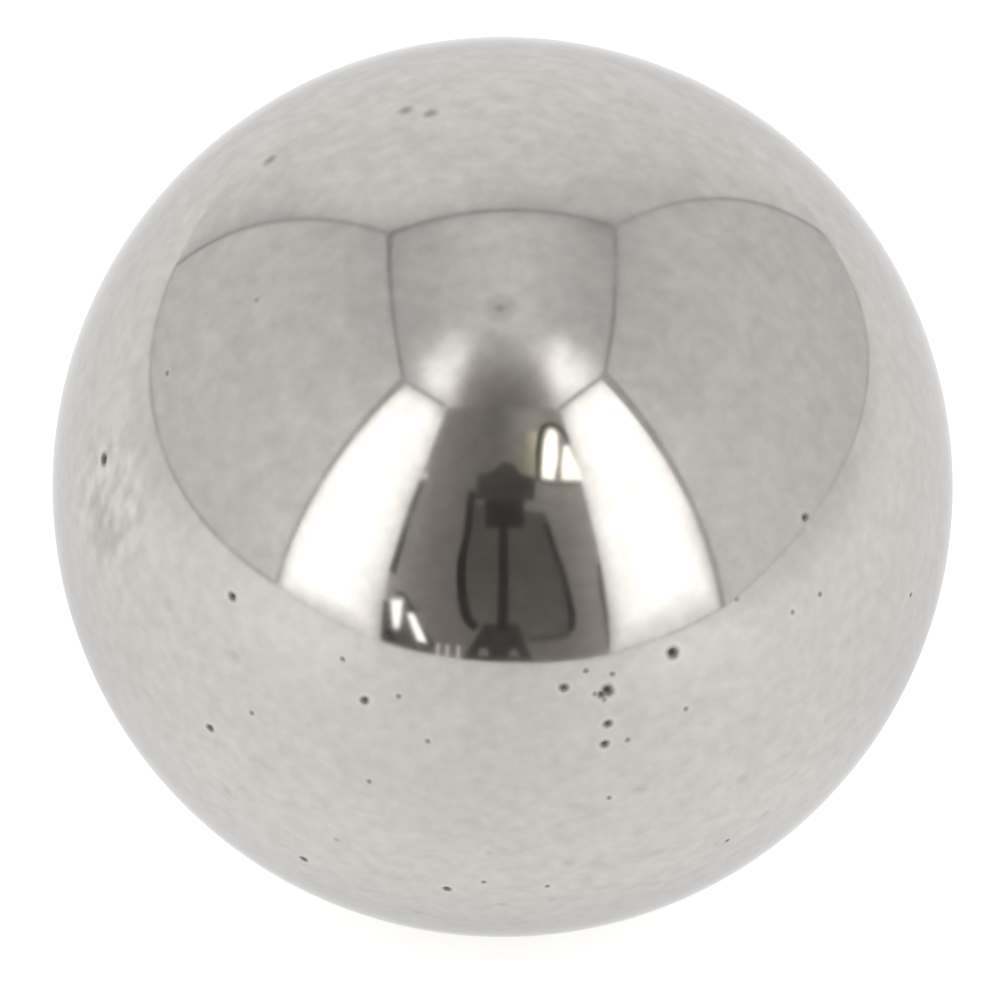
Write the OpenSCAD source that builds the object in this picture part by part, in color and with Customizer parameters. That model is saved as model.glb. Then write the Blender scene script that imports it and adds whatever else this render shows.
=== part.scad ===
// Steel ball: one solid, ground and lapped round, with the small hollows of use.
// Frame: origin at the ball's centre, +Z up. Millimetres.
// A place on the ball is [longitude, latitude] in degrees: longitude turns from +X
// towards +Y, and latitude rises from the equator to +Z.

/* [Ball] */
// Diameter of the ball
ball_d = 25.4; // [10:0.1:60]

/* [Pits] */
// Width across the mouth of a wide pit
wide_pit_w = 0.3; // [0.2:0.02:0.6]
// Depth of a wide pit below the ball's surface
wide_pit_h = 0.09; // [0.04:0.01:0.15]
// Width across the mouth of a common pit
pit_w = 0.22; // [0.16:0.02:0.4]
// Depth of a common pit
pit_h = 0.06; // [0.03:0.01:0.1]
// Width across the mouth of a fine pit
fine_pit_w = 0.14; // [0.1:0.02:0.3]
// Depth of a fine pit
fine_pit_h = 0.04; // [0.02:0.01:0.06]

/* [Dents] */
// Width of a dent, which is smooth and shallow
dent_w = 0.34; // [0.2:0.02:0.6]
// Depth of a dent
dent_h = 0.015; // [0.012:0.001:0.04]

/* [Hidden] */

$fn = 180;
// Facets round a hollow's cutter
cutter_fn = 24;

ball_r = ball_d / 2;

// The worn side faces -Y; the far side has no hollows
wide_pits = [[-67, 18], [-160.5, 21.5], [-76.3, 14.8]];
pits = [
    [-77, 7], [-76.5, 10], [-77.1, 14.4], [-82, 16], [-97.5, -20.5],
    [-118, -21], [-42, 27], [-108, 12.5], [-129, 20], [-130, -1]
];
fine_pits = [
    [-78, 14.6], [-76.8, 13.6], [-103.5, 14], [-99.5, 8], [-79, 18],
    [-75.5, 17], [-74, 7], [-76.5, -2], [-66, 9.5], [-56.5, 22],
    [-43.5, 16.5], [-48.5, 16.5], [-25.5, 4], [-107, 0], [-111.5, 17.5],
    [-123.5, 5], [-158, 37.5], [-84, -19.5], [-92.5, -18], [-58.5, -18.5]
];
dents = [
    [140.5, 74], [137, 77.5], [165, 58], [-139, 13.5],
    [-81.5, -14], [-72.5, -1.5], [-127, 12], [-58, -5.5]
];

// Radius of the ball-shaped cutter that leaves a hollow w wide and h deep: its outline
// passes through both edges of the mouth and the hollow's lowest point
function cutter_r(w, h) =
    let (
        skin_sag = ball_r - sqrt(ball_r * ball_r - w * w / 4),
        hollow_sag = h - skin_sag
    )
    (w * w / 4 + hollow_sag * hollow_sag) / (2 * hollow_sag);

// One cutter, with its lowest point h below the ball's surface at a place
module cutter(place, w, h) {
    r = cutter_r(w, h);
    rotate([0, -place[1], place[0]])
        translate([ball_r - h + r, 0, 0])
            sphere(r = r, $fn = cutter_fn);
}

module ball() {
    color("silver")
        difference() {
            sphere(r = ball_r);
            for (place = wide_pits) cutter(place, wide_pit_w, wide_pit_h);
            for (place = pits) cutter(place, pit_w, pit_h);
            for (place = fine_pits) cutter(place, fine_pit_w, fine_pit_h);
            for (place = dents) cutter(place, dent_w, dent_h);
        }
}

ball();
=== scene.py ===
# %% [markdown]
# # A polished steel ball
# A bearing ball is a plain sphere that has been forged, ground and lapped until it is a mirror.
# What you see when you look at one is therefore two things at once: its own skin, with the small
# pits, specks and scuffs of use, and the room that the skin reflects. This lesson builds both. The
# ball is a mesh worked out with numpy, and the room is a white studio tent of lit cloth.
#
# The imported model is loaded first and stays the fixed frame: everything below is measured from it.

import math

import bpy
import numpy as np
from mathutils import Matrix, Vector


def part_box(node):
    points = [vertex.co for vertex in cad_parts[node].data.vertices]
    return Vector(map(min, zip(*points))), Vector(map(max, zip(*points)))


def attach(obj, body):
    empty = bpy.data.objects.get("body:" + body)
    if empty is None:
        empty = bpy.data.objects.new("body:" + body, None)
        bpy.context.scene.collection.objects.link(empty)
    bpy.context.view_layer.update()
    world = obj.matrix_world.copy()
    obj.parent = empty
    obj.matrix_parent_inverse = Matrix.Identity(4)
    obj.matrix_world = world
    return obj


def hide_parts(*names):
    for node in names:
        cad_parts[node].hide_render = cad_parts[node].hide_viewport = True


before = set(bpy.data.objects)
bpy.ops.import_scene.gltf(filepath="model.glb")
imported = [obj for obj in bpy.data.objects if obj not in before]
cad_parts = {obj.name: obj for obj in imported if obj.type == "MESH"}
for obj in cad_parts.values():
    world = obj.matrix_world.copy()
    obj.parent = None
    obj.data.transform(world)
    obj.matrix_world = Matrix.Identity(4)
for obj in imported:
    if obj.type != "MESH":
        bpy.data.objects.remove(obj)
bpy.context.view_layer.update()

ball_low, ball_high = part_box("ball")
R = (ball_high.z - ball_low.z) / 2
MM = 0.001
print(f"ball radius {R / MM:.3f} mm, resting level z = {ball_low.z / MM:.3f} mm")

# %% [markdown]
# ## Where the hollows are
# A used ball is never quite perfect. Corrosion leaves steep dark pits, and knocks leave wide shallow
# dents. Each hollow has a place on the ball, in degrees of longitude and latitude, and belongs to a
# family with one mouth width and one depth. The sizes and places are those of the CAD source, so
# the mesh here and the solid agree. The dents come in two lists, because three get a darker painted
# shade in their middle than the rest.

# %% The hollows, family by family
WIDE_PITS = [[-67, 18], [-160.5, 21.5], [-76.3, 14.8]]
PITS = [
    [-77, 7], [-76.5, 10], [-77.1, 14.4], [-82, 16], [-97.5, -20.5],
    [-118, -21], [-42, 27], [-108, 12.5], [-129, 20], [-130, -1],
]
FINE_PITS = [
    [-78, 14.6], [-76.8, 13.6], [-103.5, 14], [-99.5, 8], [-79, 18],
    [-75.5, 17], [-74, 7], [-76.5, -2], [-66, 9.5], [-56.5, 22],
    [-43.5, 16.5], [-48.5, 16.5], [-25.5, 4], [-107, 0], [-111.5, 17.5],
    [-123.5, 5], [-158, 37.5], [-84, -19.5], [-92.5, -18], [-58.5, -18.5],
]
# the dents' darker middles are painted shade, stronger in the first list
SHADED_DENTS = [[140.5, 74], [137, 77.5], [165, 58]]
FAINTLY_SHADED_DENTS = [[-139, 13.5], [-81.5, -14], [-72.5, -1.5], [-127, 12], [-58, -5.5]]
HOLLOW_FAMILIES = [
    # places, mouth width, depth, how much rust sits in a pit and how much painted shade in a dent, and how
    # freely the walls catch the light
    (WIDE_PITS, 0.30 * MM, 0.090 * MM, 1.0, 0.2),
    (PITS, 0.22 * MM, 0.060 * MM, 0.90, 0.2),
    (FINE_PITS, 0.14 * MM, 0.040 * MM, 0.50, 0.1),
    (SHADED_DENTS, 0.34 * MM, 0.015 * MM, 0.45, 1.0),
    (FAINTLY_SHADED_DENTS, 0.34 * MM, 0.015 * MM, 0.12, 0.7),
]


def direction(longitude, latitude):
    """The unit vector of a place: (cos lat cos lon, cos lat sin lon, sin lat)."""
    lon = np.radians(longitude)
    lat = np.radians(latitude)
    return np.stack([np.cos(lat) * np.cos(lon), np.cos(lat) * np.sin(lon), np.sin(lat)], -1)


hollows = [
    {"centre": direction(*place), "width": width, "depth": depth, "rust_and_shade": rust_and_shade, "lean": lean}
    for places, width, depth, rust_and_shade, lean in HOLLOW_FAMILIES
    for place in places
]
widths = np.array([hollow["width"] for hollow in hollows])
print(f"{len(hollows)} hollows, from {widths.min() / MM:.2f} mm to {widths.max() / MM:.2f} mm wide")

# %% [markdown]
# ## A ball without poles
# The usual globe mesh bunches its triangles up at two poles, and a mirror shows that as a pinched
# reflection. A cube blown up into a ball has no poles. Each cube face carries a square grid whose
# lines stand at equal angles seen from the centre, so the cells stay nearly square and equal.

# %% Six square grids make a ball
BALL_CELLS = 64  # cells along one side of a cube face; even, so that the six axes get a vertex
MERGE_STEPS = 1e8  # steps to a radius; points that round to the same step are one point


def blown_cube(cells):
    """Directions and triangles of a ball made from a cube.

    A point of a face is (1, tan a, tan b) with a and b running evenly from -45 to 45 degrees, turned
    to its face and divided by its own length. Shared edge points are merged."""
    line = np.tan(np.linspace(-np.pi / 4, np.pi / 4, cells + 1))
    across, up = np.meshgrid(line, line, indexing="ij")
    grids = [
        np.roll(np.stack([np.full_like(across, side), across * side, up], -1), axis, axis=-1)
        for axis in range(3)
        for side in (1.0, -1.0)
    ]
    points = np.concatenate([grid.reshape(-1, 3) for grid in grids])
    points /= np.linalg.norm(points, axis=1, keepdims=True)

    index = np.arange((cells + 1) ** 2).reshape(cells + 1, cells + 1)
    near, right = index[:-1, :-1], index[1:, :-1]
    far, left = index[1:, 1:], index[:-1, 1:]
    face = np.stack([near, right, far, near, far, left], -1).reshape(-1, 3)
    triangles = np.concatenate([face + k * index.size for k in range(6)])

    _, first, merged = np.unique(
        np.round(points * MERGE_STEPS).astype(np.int64), axis=0, return_index=True, return_inverse=True
    )
    return points[first], merged.ravel()[triangles]


directions, triangles = blown_cube(BALL_CELLS)
print(f"blown cube: {len(directions)} points, {len(triangles)} triangles")

# %% [markdown]
# ## Finer triangles where the hollows are
# A pit is a fifth of a millimetre wide, and the cells above are a third of a millimetre. Making the
# whole ball fine enough would need millions of triangles, so only the neighbourhood of each hollow is
# split. A round of splitting adds the midpoint of every side of the marked triangles. A neighbour
# that has one or two split sides is cut to match, so no crack opens.

# %% Split the marked triangles
SPLIT_ROUNDS = 4
SPLIT_REACH = 2.2  # in mouth radii, so that the ring of painted highlight round a pit is fine as well
CUTS = {
    # which sides are split -> new triangles, from corners 0 1 2 and side midpoints 3 4 5
    0: [[0, 1, 2]],
    1: [[0, 3, 2], [3, 1, 2]],
    2: [[0, 1, 4], [0, 4, 2]],
    3: [[0, 3, 2], [3, 4, 2], [3, 1, 4]],
    4: [[0, 1, 5], [5, 1, 2]],
    5: [[0, 3, 5], [3, 1, 2], [3, 2, 5]],
    6: [[0, 1, 4], [0, 4, 5], [5, 4, 2]],
    7: [[0, 3, 5], [3, 1, 4], [5, 4, 2], [3, 4, 5]],
}


def split(points, tris, marked):
    """Cuts every marked triangle in four, and cuts its neighbours to match.

    A midpoint is the sum of a side's two end directions, divided by its own length."""
    sides = np.sort(np.stack([tris, np.roll(tris, -1, axis=1)], -1), axis=-1)
    keys = sides[..., 0] * len(points) + sides[..., 1]
    split_keys = np.unique(keys[marked])
    ends = np.stack([split_keys // len(points), split_keys % len(points)], -1)
    middle = points[ends[:, 0]] + points[ends[:, 1]]
    middle /= np.linalg.norm(middle, axis=1, keepdims=True)

    found = np.searchsorted(split_keys, keys).clip(max=len(split_keys) - 1)
    is_split = split_keys[found] == keys
    corners = np.concatenate([tris, len(points) + found], axis=1)
    code = is_split @ np.array([1, 2, 4])
    cut = [
        corners[code == k][:, np.array(template)].reshape(-1, 3) for k, template in CUTS.items()
    ]
    return np.concatenate([points, middle]), np.concatenate(cut)


centres = np.array([hollow["centre"] for hollow in hollows])
reaches = widths / (2 * R) * SPLIT_REACH
cell = (math.pi / 2) / BALL_CELLS
for _ in range(SPLIT_ROUNDS):
    middle = directions[triangles].mean(axis=1)
    apart = np.linalg.norm(middle[:, None] - centres[None], axis=2)
    directions, triangles = split(directions, triangles, (apart < reaches + cell).any(axis=1))
    cell /= 2
print(f"after splitting: {len(triangles)} triangles, finest cell {cell * R / MM:.3f} mm")

# %% [markdown]
# ## Press the hollows in
# A hollow is what a small sphere would cut from the ball. Along a direction that makes the angle t
# with the hollow's own direction, the cutter's surface lies at c cos t - sqrt(r² - c² sin² t) from
# the ball's centre, where r is the cutter's radius and c is how far out its centre sits. The ball's
# skin is wherever that is nearer than R. Corrosion isn't round, so each mouth is made a little ragged
# by stretching the angle by up to a tenth as one walks round it.
#
# The same stretched angle says how the skin looks there. Rust in a pit, and painted shade in a dent,
# is deepest in the middle and gone at about twice the mouth's radius, where a painted highlight
# makes a faint ring brighter than the rest.

# %% Radius, rust and painted shade, and the painted highlight ring at every point
RAGGED_WAVES = [(2, 0.05), (3, 0.03), (5, 0.02)]  # waves round a mouth, and how far each stretches it
HOLLOW_NEAR = 0.1  # radians from a hollow's middle, beyond which it doesn't reach
RUST_AND_SHADE_FULL = 0.1  # in mouth radii, as the next three are
RUST_AND_SHADE_GONE = 1.9
LIP_AT = 2.0
LIP_SPREAD = 0.35
ragged = np.random.default_rng(11)


def smooth_step(value, low, high):
    """0 at low, 1 at high, held beyond them, and the S-curve 3t² - 2t³ between them."""
    t = np.clip((value - low) / (high - low), 0, 1)
    return t * t * (3 - 2 * t)


def bell(value):
    """The bell curve exp(-v²/2): 1 at zero, and gone by 3."""
    return np.exp(-(value**2) / 2)


def hollow_shape(points, hollow):
    """Distance from the ball's centre to the skin round one hollow, and each point's angle from the
    hollow's middle in mouth radii."""
    half = hollow["width"] / 2
    skin_sag = R - math.sqrt(R * R - half * half)
    sag = hollow["depth"] - skin_sag
    cutter = (half * half + sag * sag) / (2 * sag)
    out = R - hollow["depth"] + cutter

    centre = hollow["centre"]
    east = np.cross([0.0, 0.0, 1.0], centre)
    east /= np.linalg.norm(east)
    north = np.cross(centre, east)
    around = np.arctan2(points @ north, points @ east)
    stretch = np.ones(len(points))
    for (waves, share), phase in zip(RAGGED_WAVES, ragged.uniform(0, 2 * np.pi, len(RAGGED_WAVES))):
        stretch += share * np.sin(waves * around + phase)
    angle = np.arccos(np.clip(points @ centre, -1, 1)) * stretch

    under = cutter**2 - (out * np.sin(angle)) ** 2
    inside = (under > 0) & (angle < HOLLOW_NEAR)
    reach = out * np.cos(angle) - np.sqrt(np.maximum(under, 0))
    return np.where(inside, np.minimum(reach, R), R), angle / (half / R)


radius = np.full(len(directions), R)
rust_and_shade = np.zeros(len(directions))
lip_highlight = np.zeros(len(directions))
lean = np.zeros(len(directions))
for hollow in hollows:
    reach, share = hollow_shape(directions, hollow)
    lean = np.where(reach < radius, hollow["lean"], lean)
    radius = np.minimum(radius, reach)
    # in a pit this value is rust; in a dent it is painted shade, darkest in the middle
    rust_and_shade = np.maximum(rust_and_shade, hollow["rust_and_shade"] * smooth_step(share, RUST_AND_SHADE_GONE, RUST_AND_SHADE_FULL))
    # the lip is a painted highlight: a brighter ring about twice the mouth's radius out
    lip_highlight = np.maximum(lip_highlight, hollow["rust_and_shade"] * bell((share - LIP_AT) / LIP_SPREAD))
lip_highlight *= 1 - rust_and_shade
skin = directions * radius[:, None]
print(f"deepest hollow {(R - radius.min()) / MM:.3f} mm")
print(f"{np.mean(radius < R):.1%} of the points lie in a hollow")

# %% [markdown]
# ## The ball as a Blender mesh
# The points and triangles go into one mesh in a single call. A mirror shows every error in the
# normals, so the ball doesn't rely on averaged faces: on the plain skin the normal is simply the
# direction from the centre. Inside a dent the face averages count in full or nearly so. Inside a pit
# they count only in part, because corrosion leaves a crust that rounds the walls off.

# %% Make the ball


def store_values(mesh, name, values):
    """Keeps one number for each point of a mesh, where a material can read it by its name."""
    mesh.attributes.new(name, "FLOAT", "POINT").data.foreach_set("value", values.astype(np.float32))


def new_object(name, data):
    """Puts a mesh or a camera into the scene."""
    made = bpy.data.objects.new(name, data)
    bpy.context.scene.collection.objects.link(made)
    return made


ball_mesh = bpy.data.meshes.new("steel_ball")
ball_mesh.from_pydata(skin.tolist(), [], triangles.tolist())
ball_mesh.shade_smooth()
store_values(ball_mesh, "rust_and_shade", rust_and_shade)
store_values(ball_mesh, "lip_highlight", lip_highlight)

averaged = np.empty(len(skin) * 3, np.float32)
ball_mesh.vertex_normals.foreach_get("vector", averaged)
normals = directions + lean[:, None] * (averaged.reshape(-1, 3) - directions)
normals /= np.linalg.norm(normals, axis=1, keepdims=True)
ball_mesh.normals_split_custom_set_from_vertices(normals.tolist())

ball = new_object("steel_ball", ball_mesh)
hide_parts("ball")
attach(ball, "root")
print(f"{ball.name}: {len(ball_mesh.polygons)} triangles, {2 * R / MM:.2f} mm across")

# %% [markdown]
# ## Short calls for shader nodes
# A material in Blender is a web of nodes. The same few are needed again and again: one that carries a
# value from one range to another, one that does sums, and one that mixes two colours. Each gets a
# short call that makes the node, links it and hands back its result.

# %% Helpers for shader nodes


def add_node(tree, kind, sockets=None, **settings):
    """A new shader node with its settings. Each of its sockets gets a value, or a link from another
    node's socket."""
    made = tree.nodes.new(kind)
    for name, value in settings.items():
        setattr(made, name, value)
    for name, value in (sockets or {}).items():
        if isinstance(value, bpy.types.NodeSocket):
            tree.links.new(value, made.inputs[name])
        else:
            made.inputs[name].default_value = value
    return made


def new_material(name):
    """An empty node material and its output node."""
    material = bpy.data.materials.new(name)
    material.use_nodes = True
    material.node_tree.nodes.clear()
    return material, add_node(material.node_tree, "ShaderNodeOutputMaterial")


def ramp(tree, source, low, high, to_low, to_high):
    """A value carried from the range low..high to the range to_low..to_high, and held at its ends."""
    sockets = {"Value": source, "From Min": low, "From Max": high, "To Min": to_low, "To Max": to_high}
    return add_node(tree, "ShaderNodeMapRange", sockets).outputs["Result"]


def maths(tree, operation, first, second):
    """Arithmetic on two sockets, or on a socket and a number."""
    return add_node(tree, "ShaderNodeMath", {0: first, 1: second}, operation=operation).outputs["Value"]


def blend_colours(tree, factor, first, second):
    """Mixes two colours, each a socket or a plain colour, by a factor socket."""
    return add_node(tree, "ShaderNodeMix", {0: factor, 6: first, 7: second}, data_type="RGBA").outputs[2]


print("shader helpers are ready")

# %% [markdown]
# ## Polished steel
# Bare hardened steel is a warm grey metal that gives back about six tenths of the light, and, unlike
# gold or silver, gives back somewhat less at a slant before its edge brightens. The specular tint of
# the shader sets that dip. Everything else that makes it look used is laid over this in steps, each
# from patterns in the ball's own coordinates, so that they stay fixed to the steel: grain and soft
# stains in the colour, faint marks and scuffs, an uneven polish, and a waviness of less than a
# hundredth of a hair that softens what the ball mirrors.

# %% The bare metal
EDGE_DIP = (0.76, 0.76, 0.77, 1.0)

steel, steel_out = new_material("polished_steel")
tree = steel.node_tree
place = add_node(tree, "ShaderNodeTexCoord").outputs["Object"]
shader = add_node(tree, "ShaderNodeBsdfPrincipled", {"Specular Tint": EDGE_DIP})
tree.links.new(shader.outputs["BSDF"], steel_out.inputs["Surface"])


def stretched(scales):
    """The ball's coordinates with each axis scaled by its own factor, for patterns with a grain."""
    made = add_node(tree, "ShaderNodeVectorMath", {0: place, 1: scales}, operation="MULTIPLY")
    return made.outputs["Vector"]


def noise(scale, detail=2.0, vector=place):
    """A soft random pattern with about one wave every 1/scale metres."""
    sockets = {"Vector": vector, "Scale": scale, "Detail": detail}
    return add_node(tree, "ShaderNodeTexNoise", sockets).outputs["Fac"]


def near_place(longitude, latitude, reach):
    """1 round a place on the ball, falling evenly from a third of the reach to 0 at the reach."""
    middle = direction(longitude, latitude) * R
    made = add_node(tree, "ShaderNodeVectorMath", {0: place, 1: middle}, operation="DISTANCE")
    return ramp(tree, made.outputs["Value"], 0.35 * reach, reach, 1.0, 0.0)


print(f"{steel.name}: seen at a slant it gives back {EDGE_DIP[0]:.0%} of what plain metal would")

# %% [markdown]
# ### Grain and mottle
# Each pattern turns into a share of light near 1, and the shares are multiplied, as the layers of
# handling marks on real steel are. The grain is the finest, at less than half a millimetre. The
# mottle is about a millimetre wide and fainter.

# %% Grain and mottle
GRAIN = 2300.0  # waves to a metre, as for every pattern below
MOTTLE = 900.0

shares = [
    ramp(tree, noise(GRAIN, detail=1.5), 0.25, 0.75, 0.94, 1.06),
    ramp(tree, noise(MOTTLE, detail=3.0), 0.25, 0.75, 0.975, 1.025),
]
print(f"grain of {1 / GRAIN / MM:.2f} mm and mottle of {1 / MOTTLE / MM:.2f} mm")

# %% [markdown]
# ### Dots, specks and dashes
# Soft dots are old pits that were polished nearly flat. A Voronoi pattern scatters round cells, each
# with a random value, and only the cells with a high value are drawn. Two larger specks have places
# of their own. The dashes are fine marks that run level, so their pattern has more waves along z.
# Dots and dashes show most on the lower half, and are nearly gone on the upper one.

# %% Dots, specks and dashes
DOTS = 1050.0
DOT_STRENGTH = 0.26
SPECKS = [[-153.5, 53], [-112, -13]]
SPECK_REACH = 0.13 * MM
SPECK_SHARE = 0.72
DASHES = (900, 900, 2200)
DASH_STRENGTH = 0.09

height = add_node(tree, "ShaderNodeSeparateXYZ", {0: place})
lower_half = ramp(tree, height.outputs["Z"], -0.55 * R, 0.25 * R, 1.0, 0.15)

dots = add_node(tree, "ShaderNodeTexVoronoi", {"Vector": place, "Scale": DOTS})
some_dots = ramp(tree, dots.outputs["Color"], 0.50, 0.80, 0.0, DOT_STRENGTH)
dot_shape = ramp(tree, dots.outputs["Distance"], 0.03, 0.20, 1.0, 0.0)
dots_below = maths(tree, "MULTIPLY", some_dots, lower_half)
shares.append(maths(tree, "SUBTRACT", 1.0, maths(tree, "MULTIPLY", dot_shape, dots_below)))
for longitude, latitude in SPECKS:
    speck = near_place(longitude, latitude, SPECK_REACH)
    shares.append(ramp(tree, speck, 0.0, 1.0, 1.0, SPECK_SHARE))

dashes = noise(1.0, detail=1.0, vector=stretched(DASHES))
dash_shape = ramp(tree, dashes, 0.58, 0.74, 0.0, DASH_STRENGTH)
shares.append(maths(tree, "SUBTRACT", 1.0, maths(tree, "MULTIPLY", dash_shape, lower_half)))
print(f"{len(SPECKS)} specks, {2 * SPECK_REACH / MM:.2f} mm across with their soft edge")

# %% [markdown]
# ### Clouds, a scuff and the painted highlights round the hollows
# The crown is faintly clouded. One patch has been scuffed: its strokes stand upright, so their pattern
# has fewer waves along z, and it is masked by the distance from the patch's middle. The strokes are
# lighter and darker colour, so they carry the scratches' glints and shade as painted light as well
# as their marks. Last comes a painted highlight, a bright ring round each hollow, from the attribute
# that was stored with the points.

# %% Clouds, scuff and painted highlights
CLOUDS = 1300.0
CLOUD_STRENGTH = 0.045
STROKES = (1900, 1900, 1000)
STROKE_STRENGTH = 0.19
SCUFF_PLACE = (-156, 18)
SCUFF_REACH = 2.7 * MM
LIP_HIGHLIGHT_SHARE = 1.07

cloudy = ramp(tree, noise(CLOUDS, detail=2.0), 0.3, 0.7, -CLOUD_STRENGTH, CLOUD_STRENGTH)
crown = ramp(tree, height.outputs["Z"], 0.3 * R, 0.75 * R, 0.0, 1.0)
shares.append(maths(tree, "ADD", 1.0, maths(tree, "MULTIPLY", cloudy, crown)))

upright = noise(1.0, detail=1.0, vector=stretched(STROKES))
# the strokes are scratch marks whose glints and shade are painted in as lighter and darker colour
strokes_and_glints = ramp(tree, upright, 0.3, 0.7, -STROKE_STRENGTH, STROKE_STRENGTH)
scuff_and_glints = maths(tree, "MULTIPLY", strokes_and_glints, near_place(*SCUFF_PLACE, SCUFF_REACH))
shares.append(maths(tree, "ADD", 1.0, scuff_and_glints))

# painted highlight: the metal's colour is made up to 7% brighter in a ring round each hollow
lip_highlight_mask = add_node(tree, "ShaderNodeAttribute", attribute_name="lip_highlight").outputs["Fac"]
shares.append(ramp(tree, lip_highlight_mask, 0.0, 1.0, 1.0, LIP_HIGHLIGHT_SHARE))
print(f"{len(shares)} shares so far, the scuff {2 * SCUFF_REACH / MM:.1f} mm across")

# %% [markdown]
# ### The colour under the marks
# The metal's own colour drifts between two warm greys in wide stains that are barely visible. It is
# then scaled by the product of all the shares.

# %% Colour the metal
STAIN = 520.0
PINKISH = (0.612, 0.583, 0.556, 1.0)
GREENISH = (0.597, 0.582, 0.549, 1.0)

total = shares[0]
for share in shares[1:]:
    total = maths(tree, "MULTIPLY", total, share)
stain = ramp(tree, noise(STAIN, detail=1.0), 0.35, 0.65, 0.0, 1.0)
base = blend_colours(tree, stain, PINKISH, GREENISH)
layered = add_node(tree, "ShaderNodeVectorMath", {0: base, "Scale": total}, operation="SCALE")
print(f"plain metal gives back {PINKISH[0]:.0%} of red light and {PINKISH[2]:.0%} of blue")

# %% [markdown]
# ### Rust, painted shade, polish and waviness
# Rust is no metal: it scatters light, so inside a pit the metallic share drops and the roughness
# rises. The dents get the same darker, duller colour as painted shade. The polish itself varies
# softly, and a bump of a few ten-thousandths of a millimetre stands for the orange-peel that lapping
# leaves.

# %% Finish the steel
RUST_AND_SHADE_COLOUR = (0.070, 0.062, 0.056, 1.0)
RUST_AND_SHADE_ROUGHNESS = 0.75
POLISH = 420.0
POLISH_ROUGHNESS = 0.075
POLISH_VARIES = 0.2
PEEL = 1500.0
PEEL_DEPTH = 0.00035 * MM

# rust in the pits and painted shade in the dents: a darker colour, less metal and more roughness
rust_and_shade_mask = add_node(tree, "ShaderNodeAttribute", attribute_name="rust_and_shade").outputs["Fac"]
colour = blend_colours(tree, rust_and_shade_mask, layered.outputs["Vector"], RUST_AND_SHADE_COLOUR)
tree.links.new(colour, shader.inputs["Base Color"])

smoothest = POLISH_ROUGHNESS * (1 - POLISH_VARIES)
roughest = POLISH_ROUGHNESS * (1 + POLISH_VARIES)
polish = ramp(tree, noise(POLISH, detail=3.0), 0.3, 0.7, smoothest, roughest)
rough = add_node(tree, "ShaderNodeMix", {0: rust_and_shade_mask, 2: polish, 3: RUST_AND_SHADE_ROUGHNESS}, data_type="FLOAT")
tree.links.new(rough.outputs[0], shader.inputs["Roughness"])
tree.links.new(ramp(tree, rust_and_shade_mask, 0.0, 1.0, 1.0, 0.0), shader.inputs["Metallic"])

ripples = noise(PEEL, detail=2.0)
peel = add_node(tree, "ShaderNodeBump", {"Strength": 1.0, "Distance": PEEL_DEPTH, "Height": ripples})
tree.links.new(peel.outputs["Normal"], shader.inputs["Normal"])

ball_mesh.materials.append(steel)
print(f"{steel.name}: {len(tree.nodes)} nodes")

# %% [markdown]
# ## Surfaces for the stage
# The floor and the tent are grids of points too. A grid needs four helpers: a smooth line through a
# few points, the same line with straight stretches, the faces that join neighbouring rows, and a
# call that stores a brightness with each point.

# %% Lines and grids


def smooth_line(points, count):
    """A smooth line through a few points: on each stretch the cubic whose ends lean the way that the
    neighbouring points lie (Catmull and Rom's rule), read at count even steps."""
    known = np.array(points, float)
    known = np.concatenate([[2 * known[0] - known[1]], known, [2 * known[-1] - known[-2]]])
    along = np.linspace(0, len(points) - 1, count)
    stretch = np.minimum(along.astype(int), len(points) - 2)
    t = (along - stretch)[:, None]
    before, start, end, after = (known[stretch + k] for k in range(4))
    return 0.5 * (
        2 * start
        + (end - before) * t
        + (2 * before - 5 * start + 4 * end - after) * t**2
        + (3 * start - before - 3 * end + after) * t**3
    )


def straight_line(points, count):
    """A line of straight stretches through a few points, read at count even steps."""
    known = np.array(points, float)
    along = np.linspace(0, len(points) - 1, count)
    return np.stack([np.interp(along, range(len(points)), known[:, k]) for k in range(3)], -1)


def grid_faces(rows, columns, closed=False):
    """The four-cornered faces of a grid of points, row after row; closed joins the last column on."""
    index = np.arange(rows * columns).reshape(rows, columns)
    if closed:
        index = np.concatenate([index, index[:, :1]], axis=1)
    corners = [index[:-1, :-1], index[1:, :-1], index[1:, 1:], index[:-1, 1:]]
    return np.stack(corners, -1).reshape(-1, 4)


def paint_light(mesh, tone, tint=(1.0, 1.0, 1.0)):
    """Stores a brightness (or a colour) for each point, times one tint, as the light attribute."""
    colours = np.ones((len(mesh.vertices), 4), np.float32)
    colours[:, :3] = np.reshape(tone, (len(mesh.vertices), -1)) * np.array(tint)
    mesh.attributes.new("light", "FLOAT_COLOR", "POINT").data.foreach_set("color", colours.ravel())


print("line and grid helpers are ready")

# %% [markdown]
# ## The white floor
# The ball stands on a wide white sheet, which takes a soft shadow where the ball touches it. To the
# eye the sheet reads plain white. In the mirror of the ball it isn't even: it is duller towards the
# slit that the camera looks through, brighter where the lit cloth stands near, and dimmed by the
# ball's own soft shadow, which falls away from the slit. That unevenness is a formula of the place.
# Each line of it is one soft patch: a strength, times bells and steps of the distance from the
# ball's foot, or of the compass angle from the slit or from the back.

# %% How bright the floor is in the mirror


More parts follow.
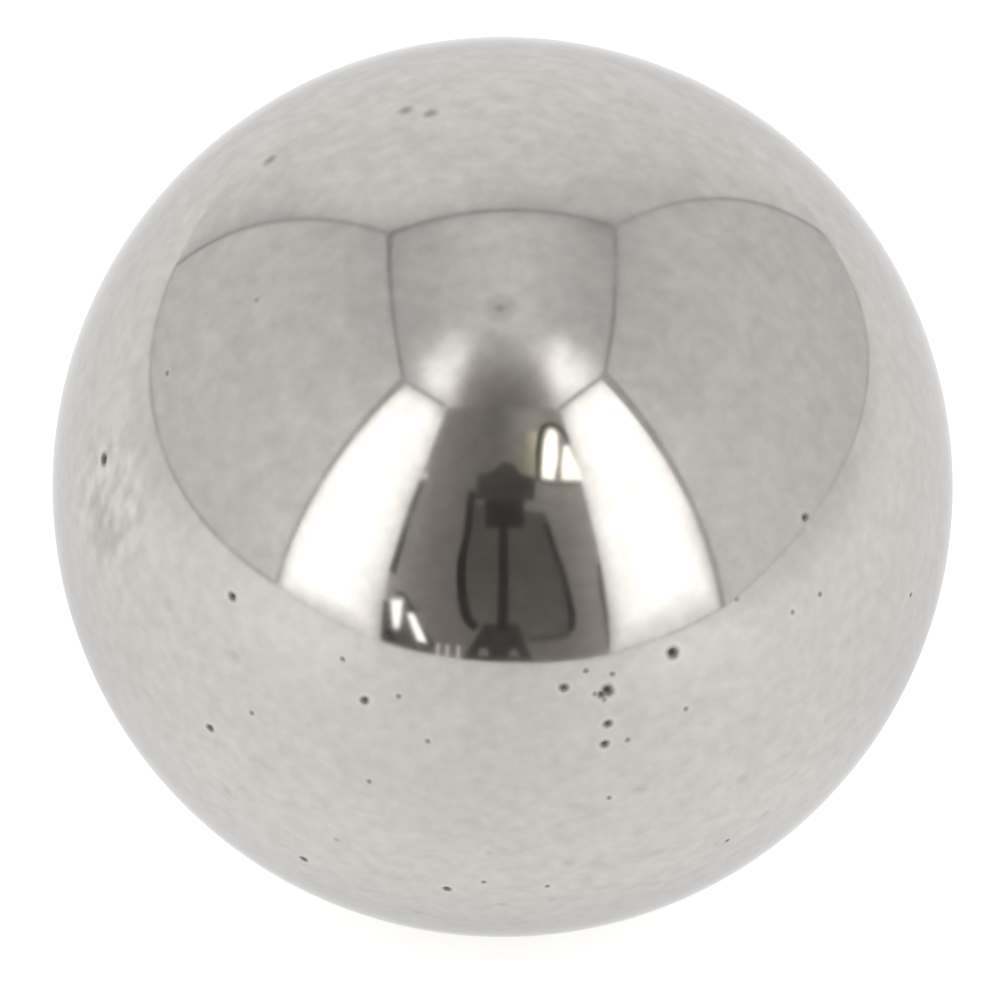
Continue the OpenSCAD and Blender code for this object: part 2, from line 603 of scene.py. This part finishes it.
def floor_tone(x, y):
    """The sheet's brightness at x and y, in ball radii from the ball's foot: 1, less a patch wherever
    something takes light away, plus one wherever something adds it."""
    away = np.hypot(x, y) + 1e-6  # never quite 0, because its logarithm is taken
    from_slit = np.degrees(np.arctan2(x, -y))
    from_back = np.degrees(np.arctan2(x, y))
    far = away / (away + 3)
    tone = 1.0 - 0.19 * far * bell(from_slit / 22)

    # the ball's shadow, with a brighter rim, is an oval that reaches towards the back
    shade = np.hypot(x, (y - 1.1) / 1.48)
    shadow = 0.06 * bell((shade - 2) / 0.5) - 0.22 * smooth_step(shade, 1.5, 0.9)
    tone += shadow * smooth_step(y, -0.6, 0.8)

    # the lit flaps brighten it on both sides of the slit, and it falls off towards the side walls
    flaps = 0.10 * bell((from_slit + 47) / 14) + 0.13 * bell((from_slit - 42) / 13)
    tone += flaps * smooth_step(away, 3, 8)
    tone -= 0.18 * smooth_step(away, 4, 16) * bell((from_back - 95) / 30)
    tone -= 0.14 * smooth_step(away, 6, 16) * bell((from_back + 80) / 14)

    # close in, the ball throws light back, as a ring on the near side and a patch to either side
    tone += 0.06 * bell(np.log(away) / 0.3) * smooth_step(np.abs(from_back), 60, 100)
    tone += 0.06 * bell(np.hypot(np.abs(x) - 1.0, y + 0.3) / 0.35)
    tone -= 0.03 * smooth_step(away, 0.8, 0.4)

    # and behind it as two wings, with a wide pale strip between them farther out
    tone += 0.09 * bell((np.abs(from_back) - 40) / 20) * bell(np.log(away / 1.1))
    return tone + 0.07 * smooth_step(away, 1, 3) * bell((from_back + 4) / 20)


print(f"two radii behind the ball the floor shows at {floor_tone(0.0, 2.0):.2f}")

# %% [markdown]
# ### The sheet as a grid
# The rows of the grid stand close together near the ball and wide apart far out, as sinh(u) does.
# Two values are stored with each point: the brightness above, and how far the point has left the
# spot under the ball, where the ball's real shadow has to show instead.

# %% Lay the floor
FLOOR_HALF = 250  # in ball radii
FLOOR_SPREAD = 6.0
FLOOR_ROWS = 101
SPOT_EDGE = (0.15, 0.5)  # in ball radii, where the stored brightness starts and where it is full

spread = np.sinh(np.linspace(-FLOOR_SPREAD, FLOOR_SPREAD, FLOOR_ROWS))
row = FLOOR_HALF * spread / math.sinh(FLOOR_SPREAD)
floor_x, floor_y = (grid.ravel() for grid in np.meshgrid(row, row, indexing="ij"))
floor_points = np.stack([floor_x, floor_y, np.full_like(floor_x, -1.0)], -1) * R
floor_mesh = bpy.data.meshes.new("floor")
floor_mesh.from_pydata(floor_points.tolist(), [], grid_faces(FLOOR_ROWS, FLOOR_ROWS).tolist())
paint_light(floor_mesh, floor_tone(floor_x, floor_y))
store_values(floor_mesh, "beyond_shadow", smooth_step(np.hypot(floor_x, floor_y), *SPOT_EDGE))
floor = new_object("floor", floor_mesh)
print(f"floor {2 * FLOOR_HALF * R:.1f} m wide, {len(floor_mesh.polygons)} faces")

# %% [markdown]
# ### The sheet's white
# The cloth is a plain rough white that glows a little, so that it reads as white right up to the
# ball. Rays that come off a mirror find the stored brightness instead, except under the ball.

# %% Dye the sheet
FLOOR_WHITE = (0.86, 0.86, 0.86, 1.0)
GLOW_SEEN = 0.55
GLOW_ELSEWHERE = 0.20

white, white_out = new_material("white_sheet")
sheet = white.node_tree
rays = add_node(sheet, "ShaderNodeLightPath")
cloth = add_node(
    sheet,
    "ShaderNodeBsdfPrincipled",
    {
        "Base Color": FLOOR_WHITE,
        "Roughness": 1.0,
        "Specular IOR Level": 0.0,
        "Emission Color": (1.0, 1.0, 1.0, 1.0),
        "Emission Strength": ramp(
            sheet, rays.outputs["Is Camera Ray"], 0.0, 1.0, GLOW_ELSEWHERE, GLOW_SEEN
        ),
    },
).outputs["BSDF"]
stored_light = add_node(sheet, "ShaderNodeAttribute", attribute_name="light").outputs["Color"]
stored_reach = add_node(sheet, "ShaderNodeAttribute", attribute_name="beyond_shadow").outputs["Fac"]
mirrored = add_node(sheet, "ShaderNodeEmission", {"Color": stored_light}).outputs["Emission"]
use_stored = maths(sheet, "MULTIPLY", rays.outputs["Is Glossy Ray"], stored_reach)
choice = add_node(sheet, "ShaderNodeMixShader", {0: use_stored, 1: cloth, 2: mirrored})
sheet.links.new(choice.outputs["Shader"], white_out.inputs["Surface"])
floor_mesh.materials.append(white)
print(f"{white.name}: {len(sheet.nodes)} nodes")

# %% [markdown]
# ## A tent of lit cloth
# Shiny things are shown off in a tent: white cloth on all sides, lit from outside, with a slit at
# the front to look in through. Nearly everything the ball shows is this tent, so it is worth building
# as a real one, with leaning walls, a ceiling, dark seams and two brighter front flaps. Each cloth is
# a surface stretched between two edge lines. Its light is a formula of the place on the cloth, stored
# with each point, so one material serves them all. The camera looks straight through the cloth, and
# only the ball and the floor see it. Lengths are in ball radii, from the ball's centre.

# %% Cloths, rods and flat shapes
lit, lit_out = new_material("lit_cloth")
light = add_node(lit.node_tree, "ShaderNodeAttribute", attribute_name="light")
lamp = add_node(lit.node_tree, "ShaderNodeEmission", {"Color": light.outputs["Color"]})
lit.node_tree.links.new(lamp.outputs["Emission"], lit_out.inputs["Surface"])
for material in (lit, white):
    material.cycles.emission_sampling = "NONE"  # the tent is all round, so aiming at it gains nothing


def stage_surface(name, points, faces, tone, tint=(1.0, 1.0, 1.0)):
    """A lit stage piece that only mirrors and the floor see, from points in ball radii."""
    mesh = bpy.data.meshes.new(name)
    mesh.from_pydata((points * R).tolist(), [], faces.tolist())
    is_colour = np.ndim(tone) == 2
    paint_light(mesh, tone if is_colour else np.ones(len(points)) * tone, tint)
    mesh.materials.append(lit)
    piece = new_object(name, mesh)
    piece.visible_camera = False
    return piece


def cloth_between(name, first, second, tone, columns=48, tint=(1.0, 1.0, 1.0)):
    """A cloth stretched straight between two edge lines of equally many points: at (s, t) it lies the
    share t of the way from the first line's point at s to the second line's. tone is a function of
    the points, s and t."""
    along, across = np.meshgrid(np.linspace(0, 1, len(first)), np.linspace(0, 1, columns), indexing="ij")
    points = first[:, None] + across[..., None] * (second - first)[:, None]
    points = points.reshape(-1, 3)
    faces = grid_faces(len(first), columns)
    return stage_surface(name, points, faces, tone(points, along.ravel(), across.ravel()), tint)


def rod_along(name, line, width, tone, sides=6):
    """A rod round a line of points: at each one a ring of corners, square to the line. width is one
    number, or one for each point."""
    ahead = np.gradient(line, axis=0)
    ahead /= np.linalg.norm(ahead, axis=1, keepdims=True)
    side = np.cross(ahead, [0.3, 0.2, 0.93])
    side /= np.linalg.norm(side, axis=1, keepdims=True)
    lift = np.cross(ahead, side)
    turn = np.linspace(0, 2 * np.pi, sides, endpoint=False)[None, :, None]
    ring = np.cos(turn) * side[:, None] + np.sin(turn) * lift[:, None]
    half = np.broadcast_to(np.asarray(width) / 2, len(line))[:, None, None]
    points = (line[:, None] + half * ring).reshape(-1, 3)
    return stage_surface(name, points, grid_faces(len(line), sides, closed=True), tone)


print("cloth and rod helpers are ready")

# %% [markdown]
# ## The tent's frame
# Eight corners carry the tent. It is a light thing of cloth and wire, so nothing in it is square: the
# ceiling slopes down to the right and the left wall leans out. The slit at the front is bounded by
# the inner edges of the two flaps.

# %% Corners and edges
ceiling_back_left = (-33.5, 34, 70)
ceiling_back_right = (27, 30.5, 56.5)
ceiling_front_left = (-33.5, -24, 71)
ceiling_front_right = (27.5, -17.5, 56.5)
foot_back_left = (-49, 48.5, 1)
foot_front_left = (-47.5, -31.5, 1.3)
foot_back_right = (14, 17.2, -1)
foot_front_right = (17, -12.7, -1)
slit_top_left = (-15.0, -28, 54.6)
slit_top_right = (15.2, -28, 53.4)

ROWS = 60
WIDE_ROWS = 91  # the front edge has three stretches of 30 rows, so its corners fall on a row
ceiling_back = straight_line([ceiling_back_left, ceiling_back_right], WIDE_ROWS)
ceiling_front = straight_line(
    [ceiling_front_left, slit_top_left, slit_top_right, ceiling_front_right], WIDE_ROWS
)
left_top = straight_line([ceiling_back_left, ceiling_front_left], ROWS)
right_top = straight_line([ceiling_back_right, ceiling_front_right], ROWS)
left_wall_foot = smooth_line(
    [foot_back_left, (-49, 27, 0), (-48, 9.5, 0), (-47.5, -8, 0.4), foot_front_left], ROWS
)
right_wall_foot = smooth_line(
    [foot_back_right, (11.2, 11, -1), (12, 8.4, -1), (20.5, 7, -1), (36, 3, -1), (44, -5, -1),
     (34, -13, -1), foot_front_right],
    ROWS,
)
back_foot = straight_line([foot_back_left, foot_back_right], WIDE_ROWS)
slit_left = smooth_line(
    [slit_top_left, (-14.6, -28, 42), (-14.6, -28, 30), (-15.2, -28, 20), (-15.6, -28, 9),
     (-15.2, -28, -0.4)],
    ROWS,
)
slit_right = smooth_line(
    [slit_top_right, (14.6, -28, 44), (14.1, -28, 32), (13.7, -28, 20), (13.5, -28, 5),
     (8.1, -17.6, -1)],
    ROWS,
)
left_front_edge = straight_line([ceiling_front_left, foot_front_left], ROWS)
right_front_edge = straight_line([ceiling_front_right, foot_front_right], ROWS)
tent_width = ceiling_back_right[0] - ceiling_back_left[0]
tent_height = ceiling_front_left[2]
print(f"tent about {tent_width * R:.2f} m wide and {tent_height * R:.2f} m high")

# %% [markdown]
# ## The light of the ceiling
# The floor's brightness is about 1. The ceiling is darker, and least so along its middle. Pools of
# light lie on both sides of the slit, a round port shows faintly in the middle, and the dark of the
# room outside reaches in as a soft wedge. Such shapes are easiest to write down on a level plane, so
# each point of the sloping cloth is first carried onto one along its line to the ball.

# %% The tone of the ceiling
PLANE_HEIGHT = 71
ROOM_TINT = (1.0, 0.94, 0.895)


def pool(x, y, centre, spread):
    """A round or oval pool of light that fades as a bell curve."""
    return bell(np.hypot((x - centre[0]) / spread[0], (y - centre[1]) / spread[1]))


def ceiling_tone(points, along, across):
    """The ceiling's brightness at x and y on the level plane: a bright middle, the port, four pools,
    and over them the wedge of painted shade, where the tone goes over into a darker, brownish one."""
    x = PLANE_HEIGHT * points[:, 0] / points[:, 2]
    y = PLANE_HEIGHT * points[:, 1] / points[:, 2]
    tone = 0.57 + 0.21 * bell((x - 0.5) / 14)
    tone -= 0.16 * smooth_step(y, 28, 40)
    port = np.hypot(x + 0.7, y + 2.1)
    tone += 0.03 * bell((port - 7) / 1.5) - 0.11 * smooth_step(port, 5.8, 3.8)
    tone -= 0.32 * smooth_step(port, 1.7, 0.4)
    tone += 0.90 * pool(x, y, (-21, -25), (5, 6.5)) + 0.40 * pool(x, y, (-14, -16), (3.5, 5))
    tone += 0.95 * pool(x, y, (22.5, -25), (6.5, 6.5)) + 0.50 * pool(x, y, (17.5, -16.5), (3, 4))

    # the wedge is painted shade, where the dark of the room reaches in
    into_wedge = np.maximum(-6 - y, 0)
    aside = (x - 0.7) / (7.3 + 0.32 * into_wedge)
    wedge_shade = 0.21 + 0.50 * bell(into_wedge / 11.5)
    wedge_shade *= 1 + 0.045 * into_wedge * np.minimum(aside**2, 1.5) + 0.15 * np.clip(aside, -1, 1)
    dark = smooth_step(np.abs(aside), 1.3, 0.75) * smooth_step(into_wedge, 0, 6)
    tone += (np.minimum(wedge_shade, tone) - tone) * dark
    brownish = dark * smooth_step(into_wedge, 4, 28)
    return tone[:, None] * (1 + brownish[:, None] * (np.array(ROOM_TINT) - 1))


print(f"the ceiling's tones lie on a plane {PLANE_HEIGHT * R:.2f} m up")

# %% [markdown]
# ## The light of the walls and the back
# The side walls are a little darker than the floor and fade towards the ceiling. The back is one
# sweep of cloth from the floor's white up to a pale grey.

# %% Tones of the walls and the back


def left_wall_tone(points, along, across):
    """Darker under the ceiling, and brighter near the lit front flap."""
    y, z = points[:, 1], points[:, 2]
    glow = (0.08 + 0.08 * smooth_step(z, 20, 60)) * np.exp(-(y + 27) / 16)
    return 0.772 + glow - 0.13 * smooth_step(z, 25, 70)


def right_wall_tone(points, along, across):
    """Darker under the ceiling and towards the back."""
    return 0.80 - 0.0028 * (points[:, 1] + 10) - 0.11 * smooth_step(points[:, 2], 15, 58)


def back_tone(points, along, across):
    """The sweep: as white as the floor at its foot, pale grey under the ceiling, and dull at its ends.
    The height below the ceiling is measured from its sloping line."""
    x, z = points[:, 0], points[:, 2]
    fall = ceiling_back_left[2] - ceiling_back_right[2]
    below_ceiling = ceiling_back_left[2] - (x - ceiling_back_left[0]) * fall / tent_width - z
    tone = 1.0 - 0.11 * (1 - np.exp(-z / 13)) - 0.25 * np.exp(-below_ceiling / 9)
    tone *= 1 - np.minimum(0.1 * ((x + 3 + 0.33 * z) / 25) ** 2, 0.13)
    tone += 0.07 * bell(x / 12) * np.exp(-z / 10)
    return tone - 0.17 * np.exp(-along / 0.08) - 0.08 * np.exp(-(1 - along) / 0.08)


print("wall tones are ready")

# %% [markdown]
# ## The light of the flaps and the room
# The two flaps beside the slit are the brightest cloths, because the lamps stand behind them. Their
# hems are duller. Through the slit the mirror shows the room, dim and a little brown.

# %% Tones of the flaps and the room
FLAP_DULLEST = 0.85


def flap_tone(full, inner_hem, outer_hem, at_foot, foot_end):
    """The tone function of a front flap: full in the middle, duller along its four edges, and most
    of all in its lower corners."""

    def tone(points, along, across):
        """full, less a falling exponential from each hem, but above the foot never below the dullest."""
        low = smooth_step(points[:, 2], 14, 0)
        high = smooth_step(points[:, 2], 35, 65)
        inner = (0.9 + 0.45 * low - 0.3 * high) * np.exp(-across / inner_hem)
        outer = (0.8 + 0.9 * low + 0.6 * high) * np.exp(-(1 - across) / outer_hem)
        top = np.exp(-along / 0.08)
        foot = at_foot + (1 - at_foot) * smooth_step(points[:, 2], foot_end - 6, foot_end)
        return np.minimum(np.maximum(full - inner - outer - top, FLAP_DULLEST), full * foot)

    return tone


def room_tone(points, along, across):
    """The dim room behind the slit: darkest in the middle, with light spilling in at both sides and
    from the windows. x and z are read on the slit's own plane."""
    x = slit_top_left[1] * points[:, 0] / points[:, 1]
    z = slit_top_left[1] * points[:, 2] / points[:, 1]
    high = smooth_step(z, 30, 46)
    tone = 0.21 + 0.12 * np.minimum(np.abs((x + 1.5) / 12) ** 1.5, 1.5)
    tone += 0.14 * pool(x, z, (7, 40), (3.5, 12)) - 0.05 * pool(x, z, (7, 8), (4, 9))
    tone -= 0.025 * pool(x, z, (-8.5, 14), (3, 8))
    tone += 0.04 * (1 - high) * smooth_step(x, 9, 12)
    tone += 0.10 * smooth_step(z, 42, 24) * np.exp(-np.maximum(x + 15, 0) / 2.2)
    return tone + 0.25 * smooth_step(z, 50, 58) * smooth_step(np.abs(x), 9, 15)


print("flap and room tones are ready")

# %% [markdown]
# ## Hang the cloths
# Six cloths make the tent. Behind the slit lie two more: the room's floor, which starts where the
# tent's sheet ends, and the room itself, a screen that runs from there up behind the ceiling's front.

# %% Hang the cloths
slit_foot = smooth_line(
    [(-16.4, -28.6, -0.45), (-14.2, -28.6, -0.5), (-9, -28.6, -0.75), (-4, -28.3, -0.96), (0, -26.3, -0.97),
     (3.2, -21.8, -0.97), (5.5, -19.2, -0.97), (7.3, -17.3, -0.97), (8.4, -15.8, -0.97)],
    ROWS,
)
outside_foot = slit_foot * [2.4, 2.4, 1.0]
room_far = straight_line([(-75, -75, 175), (-20, -80, 190), (20, -80, 190), (75, -75, 175)], ROWS)

cloth_between("tent_ceiling", ceiling_back, ceiling_front, ceiling_tone, columns=110)
cloth_between("tent_left_wall", left_top, left_wall_foot, left_wall_tone)
cloth_between("tent_right_wall", right_top, right_wall_foot, right_wall_tone)
cloth_between("tent_back", ceiling_back, back_foot, back_tone)
cloth_between("tent_left_flap", slit_left, left_front_edge, flap_tone(1.95, 0.12, 0.11, 0.50, 5.4))
cloth_between("tent_right_flap", slit_right, right_front_edge, flap_tone(1.95, 0.16, 0.08, 0.50, 4.2))
cloth_between("dim_floor", slit_foot, outside_foot, room_tone, tint=ROOM_TINT)
cloth_between("dim_room", outside_foot, room_far, room_tone, tint=ROOM_TINT)
print(f"{lit.users} cloths hang")

# %% [markdown]
# ## Seams
# Where two cloths meet, a doubled hem keeps some of the light back and reads as a thin darker line.
# The hems are drawn as rods. A rod's width grows with its distance from the ball, so that the lines
# look equally fine in the mirror.

# %% Sew the seams
SEAM_SHARE = 0.026  # width, as a share of the distance
thinning = np.linspace(2.0, 0.9, ROWS)  # from the ceiling to the foot
seams = {
    # line, width in shares of a plain seam, and brightness
    "seam_ceiling_back": (ceiling_back, 1.3, 0.36),
    "seam_ceiling_left": (left_top, 1.3, 0.34),
    "seam_ceiling_right": (right_top, 1.1, 0.38),
    "seam_back_left": (straight_line([ceiling_back_left, foot_back_left], ROWS), 1.2, 0.45),
    "seam_back_right": (straight_line([ceiling_back_right, foot_back_right], ROWS), 1.0, 0.50),
    "seam_foot_left": (left_wall_foot, 0.8, 0.60),
    "seam_foot_right": (right_wall_foot, 0.8, 0.60),
    "seam_front_left": (left_front_edge, thinning, 0.45),
    "seam_front_right": (right_front_edge, thinning, 0.45),
    "seam_flap_left": (straight_line([ceiling_front_left, slit_top_left], ROWS), 1.2, 0.50),
    "seam_flap_right": (straight_line([ceiling_front_right, slit_top_right], ROWS), 1.2, 0.50),
    "seam_sill_left": (straight_line([foot_front_left, (-15.5, -27.9, -0.6)], ROWS), 0.4, 0.82),
    "seam_sill_right": (straight_line([(9.0, -17.2, -0.95), foot_front_right], ROWS), 0.7, 0.60),
}
for name, (line, thickness, tone) in seams.items():
    rod_along(name, line, SEAM_SHARE * thickness * np.linalg.norm(line, axis=1), tone)
print(f"{len(seams)} seams")

# %% [markdown]
# ## What stands in the slit
# A camera on a stand looks in, with two bright windows behind it and a few bright scraps of cloth at
# its left foot. They are flat shapes and rods in the plane of the slit, because a mirror as small as
# this shows them a few hairs wide. Each shape is given by the x and z of its corners, and where two
# lie over each other, one of them stands a little nearer to the ball.

# %% Shapes in the plane of the slit
SLIT_DEPTH = -27.8
ROD_NEARER = 0.3
ROD_ROWS = 24


def in_slit(corners, nearer=0.0):
    """Places in the plane of the slit, or a little nearer to the ball."""
    return np.array([(x, SLIT_DEPTH + nearer, z) for x, z in corners], float)


def cut_out(name, corners, tone, tint=ROOM_TINT, nearer=0.0):
    """A flat shape in the plane of the slit."""
    points = in_slit(corners, nearer)
    return stage_surface(name, points, np.arange(len(points))[None], tone, tint)


def slit_rod(name, corners, width, tone):
    """A rod in the plane of the slit, bent smoothly through its corners."""
    return rod_along(name, smooth_line(in_slit(corners, ROD_NEARER), ROD_ROWS), width, tone)


print(f"the slit's plane stands {-SLIT_DEPTH * R:.2f} m in front of the ball")

# %% [markdown]
# ### The camera on its stand
# The camera and its stand are nearly black. A column and two legs carry it, and two gaps in the foot
# let light through. The shade behind them has a tone of its own at each corner, and fades from one
# to the next.

# %% The camera on its stand
cut_out(
    "stand_shade",
    [(-4.8, 22), (-5.3, 12), (-5, 8), (-3.2, 3.4), (3, 1.2), (7.8, 1.4), (8.4, 6), (7.6, 11),
     (6.4, 20)],
    np.array([0.13, 0.125, 0.13, 0.165, 0.17, 0.165, 0.15, 0.125, 0.13]),
    nearer=0.1,
)
cut_out(
    "camera_body",
    [(-4.4, 22.4), (-4.2, 28), (-1.6, 29), (0.2, 31.5), (2.2, 30.5), (3, 28.4), (5.6, 27), (4.9, 22.4)],
    0.085,
    nearer=0.2,
)
cut_out("camera_lens", [(-2.4, 17.4), (-2.7, 22.4), (3.3, 22.4), (3, 17.4)], 0.055, nearer=0.2)
slit_rod("stand_column", [(0.1, 18), (0.1, 10), (0, 3)], 1.25, 0.045)
slit_rod("leg_left", [(-5, 24), (-4.9, 17), (-5.3, 12.5), (-5, 8), (-4.2, 4.6), (-3, 3.2)], 1.2, 0.04)
slit_rod("leg_right", [(6.2, 18), (7, 13.5), (7.7, 10), (8.1, 6.5), (8.3, 4.5), (8, 2.4)], 0.95, 0.06)
slit_rod("stand_brace", [(3, 1.9), (5.5, 1.8), (8, 2.2)], 0.5, 0.10)
cut_out("stand_base", [(-2.1, 3.8), (1.7, 3.8), (3.4, -1.1), (-4.5, -0.9)], 0.07, nearer=0.4)
cut_out("base_gap_left", [(-2.5, 0.7), (-1.7, 0.7), (-1.5, -0.3), (-2.7, -0.3)], 0.27, nearer=0.5)
cut_out("base_gap_right", [(0.9, 0.6), (1.6, 0.6), (1.8, -0.4), (0.7, -0.4)], 0.24, nearer=0.5)
print(f"{lit.users} lit pieces so far, with the camera and its stand")

# %% [markdown]
# ### Two windows
# High on the right two tall windows shine in. Their dark frame is a bent rod that arches over both,
# and lamplight spills onto the wall to the left of it.

# %% The windows
WINDOW_BRIGHTNESS = 2.2
WINDOW_TINT = (1.0, 0.98, 0.90)
LAMPLIGHT_TINT = (1.0, 0.94, 0.74)

cut_out(
    "window_glow",
    [(3.2, 29), (4.4, 41), (7.4, 42), (6.6, 27.5)],
    np.array([0.24, 0.30, 0.75, 0.65]),
    LAMPLIGHT_TINT,
    nearer=0.05,
)
slit_rod(
    "window_frame",
    [(6.1, 27), (7, 35), (8.2, 40.4), (9.6, 43.8), (12, 44.2), (13.4, 41.6), (13.7, 38)],
    1.1,
    0.05,
)
slit_rod("window_sill", [(6.2, 26), (9.4, 25.6), (13.2, 25.6)], 0.7, 0.20)
for name, corners in {
    "window_left": [(6.5, 27), (7.7, 34), (9, 39.6), (10, 42), (11.2, 42.6), (11.9, 40.5), (10.3, 32),
                    (8.7, 26.6)],
    "window_right": [(10, 26.6), (11.1, 32), (12.4, 36.2), (13.4, 36.6), (14, 26.6)],
}.items():
    cut_out(name, corners, WINDOW_BRIGHTNESS, WINDOW_TINT, nearer=0.4)
print(f"windows at {WINDOW_BRIGHTNESS} times the floor's brightness")

# %% [markdown]
# ### Scraps of cloth and the hems
# At the slit's left foot lie two bright scraps with dark shade round them, and the tips of three
# more. Both hems of the slit have a stretch in shade, and the left one is a little torn.

# %% The scraps and the hems
SCRAP_BRIGHTNESS = 2.2
SCRAP_TINT = (1.0, 1.0, 0.98)
TIP_HALF_WIDTH = 0.2
TIP_HALF_HEIGHT = 0.8

cut_out(
    "scrap_shade",
    [(-15, 4), (-12.2, 5.4), (-11.4, 4.8), (-10, 3.4), (-8, 0.4), (-8, -0.8), (-15, -0.6)],
    0.13,
)
cut_out(
    "scrap_dark",
    [(-15.6, 5.4), (-14.4, 5.2), (-13.3, 0.8), (-12.6, -0.2), (-15.1, -0.4)],
    0.02,
    nearer=0.15,
)
slit_rod(
    "scrap_edge",
    [(-13.9, 6.6), (-12.4, 6.5), (-11.6, 5.2), (-11, 4.9), (-9.8, 2.9), (-8.1, 0.4)],
    0.6,
    0.07,
)
for name, corners in {
    "scrap_left": [(-14.2, 5.5), (-12.5, 5.8), (-12.5, 1.8), (-13.2, 1.6)],
    "scrap_right": [(-11.6, 4.1), (-10.6, 4.2), (-8.7, 0.6), (-9.9, 0.7)],
}.items():
    cut_out(name, corners, SCRAP_BRIGHTNESS, SCRAP_TINT, nearer=0.5)
for name, x in {"scrap_tip_1": -7.4, "scrap_tip_2": -6.3, "scrap_tip_3": -5.0}.items():
    left, right = x - TIP_HALF_WIDTH, x + TIP_HALF_WIDTH
    top, bottom = TIP_HALF_HEIGHT, -TIP_HALF_HEIGHT
    cut_out(name, [(left, top), (right, top), (right, bottom), (left, bottom)], 0.8, nearer=0.2)
slit_rod("hem_shade_left", [(-14, 26), (-14.4, 20), (-14.6, 14), (-14.9, 9.5)], 1.1, 0.07)
slit_rod("hem_shade_right", [(13, 11), (12.7, 8), (12.7, 5), (12.7, 1.6), (12.8, -1)], 0.6, 0.13)
cut_out("hem_tear", [(-14.2, 28.6), (-13.4, 28.6), (-13.4, 27.2), (-14.2, 27.2)], 1.2, nearer=0.2)
print(f"{lit.users} lit pieces, and the stage is complete")

# %% [markdown]
# ## Camera, world and view
# The camera stands well back with a long lens and looks down at 42 degrees, as one looks at a small
# thing on a table. From far off a ball's outline is a true circle that fills most of the frame. The
# world outside the tent is plain white, and colours are shown as they are, with no film curve.

# %% Set up the camera
CAMERA_RADII = 50
CAMERA_TILT = math.radians(42.4)
FILL = 0.9006  # share of the frame's width that the ball takes
FRAME_SHIFT = (-0.0026, -0.0131)  # shares of the frame's width
SENSOR = 36.0

scene = bpy.context.scene
camera_data = bpy.data.cameras.new("camera")
half_view = math.atan(math.tan(math.asin(1 / CAMERA_RADII)) / FILL)
camera_data.sensor_width = SENSOR
camera_data.lens = SENSOR / 2 / math.tan(half_view)
camera_data.shift_x, camera_data.shift_y = FRAME_SHIFT
camera = new_object("camera", camera_data)
distance = CAMERA_RADII * R
camera.location = (0, -distance * math.cos(CAMERA_TILT), distance * math.sin(CAMERA_TILT))
camera.rotation_euler = (math.pi / 2 - CAMERA_TILT, 0, 0)
scene.camera = camera

world = bpy.data.worlds.new("white_world")
world.use_nodes = True
world.node_tree.nodes["Background"].inputs["Color"].default_value = (1, 1, 1, 1)
world.node_tree.nodes["Background"].inputs["Strength"].default_value = 1.0
scene.world = world
scene.view_settings.view_transform = "Standard"
print(f"camera {distance:.3f} m away, lens {camera_data.lens:.0f} mm")
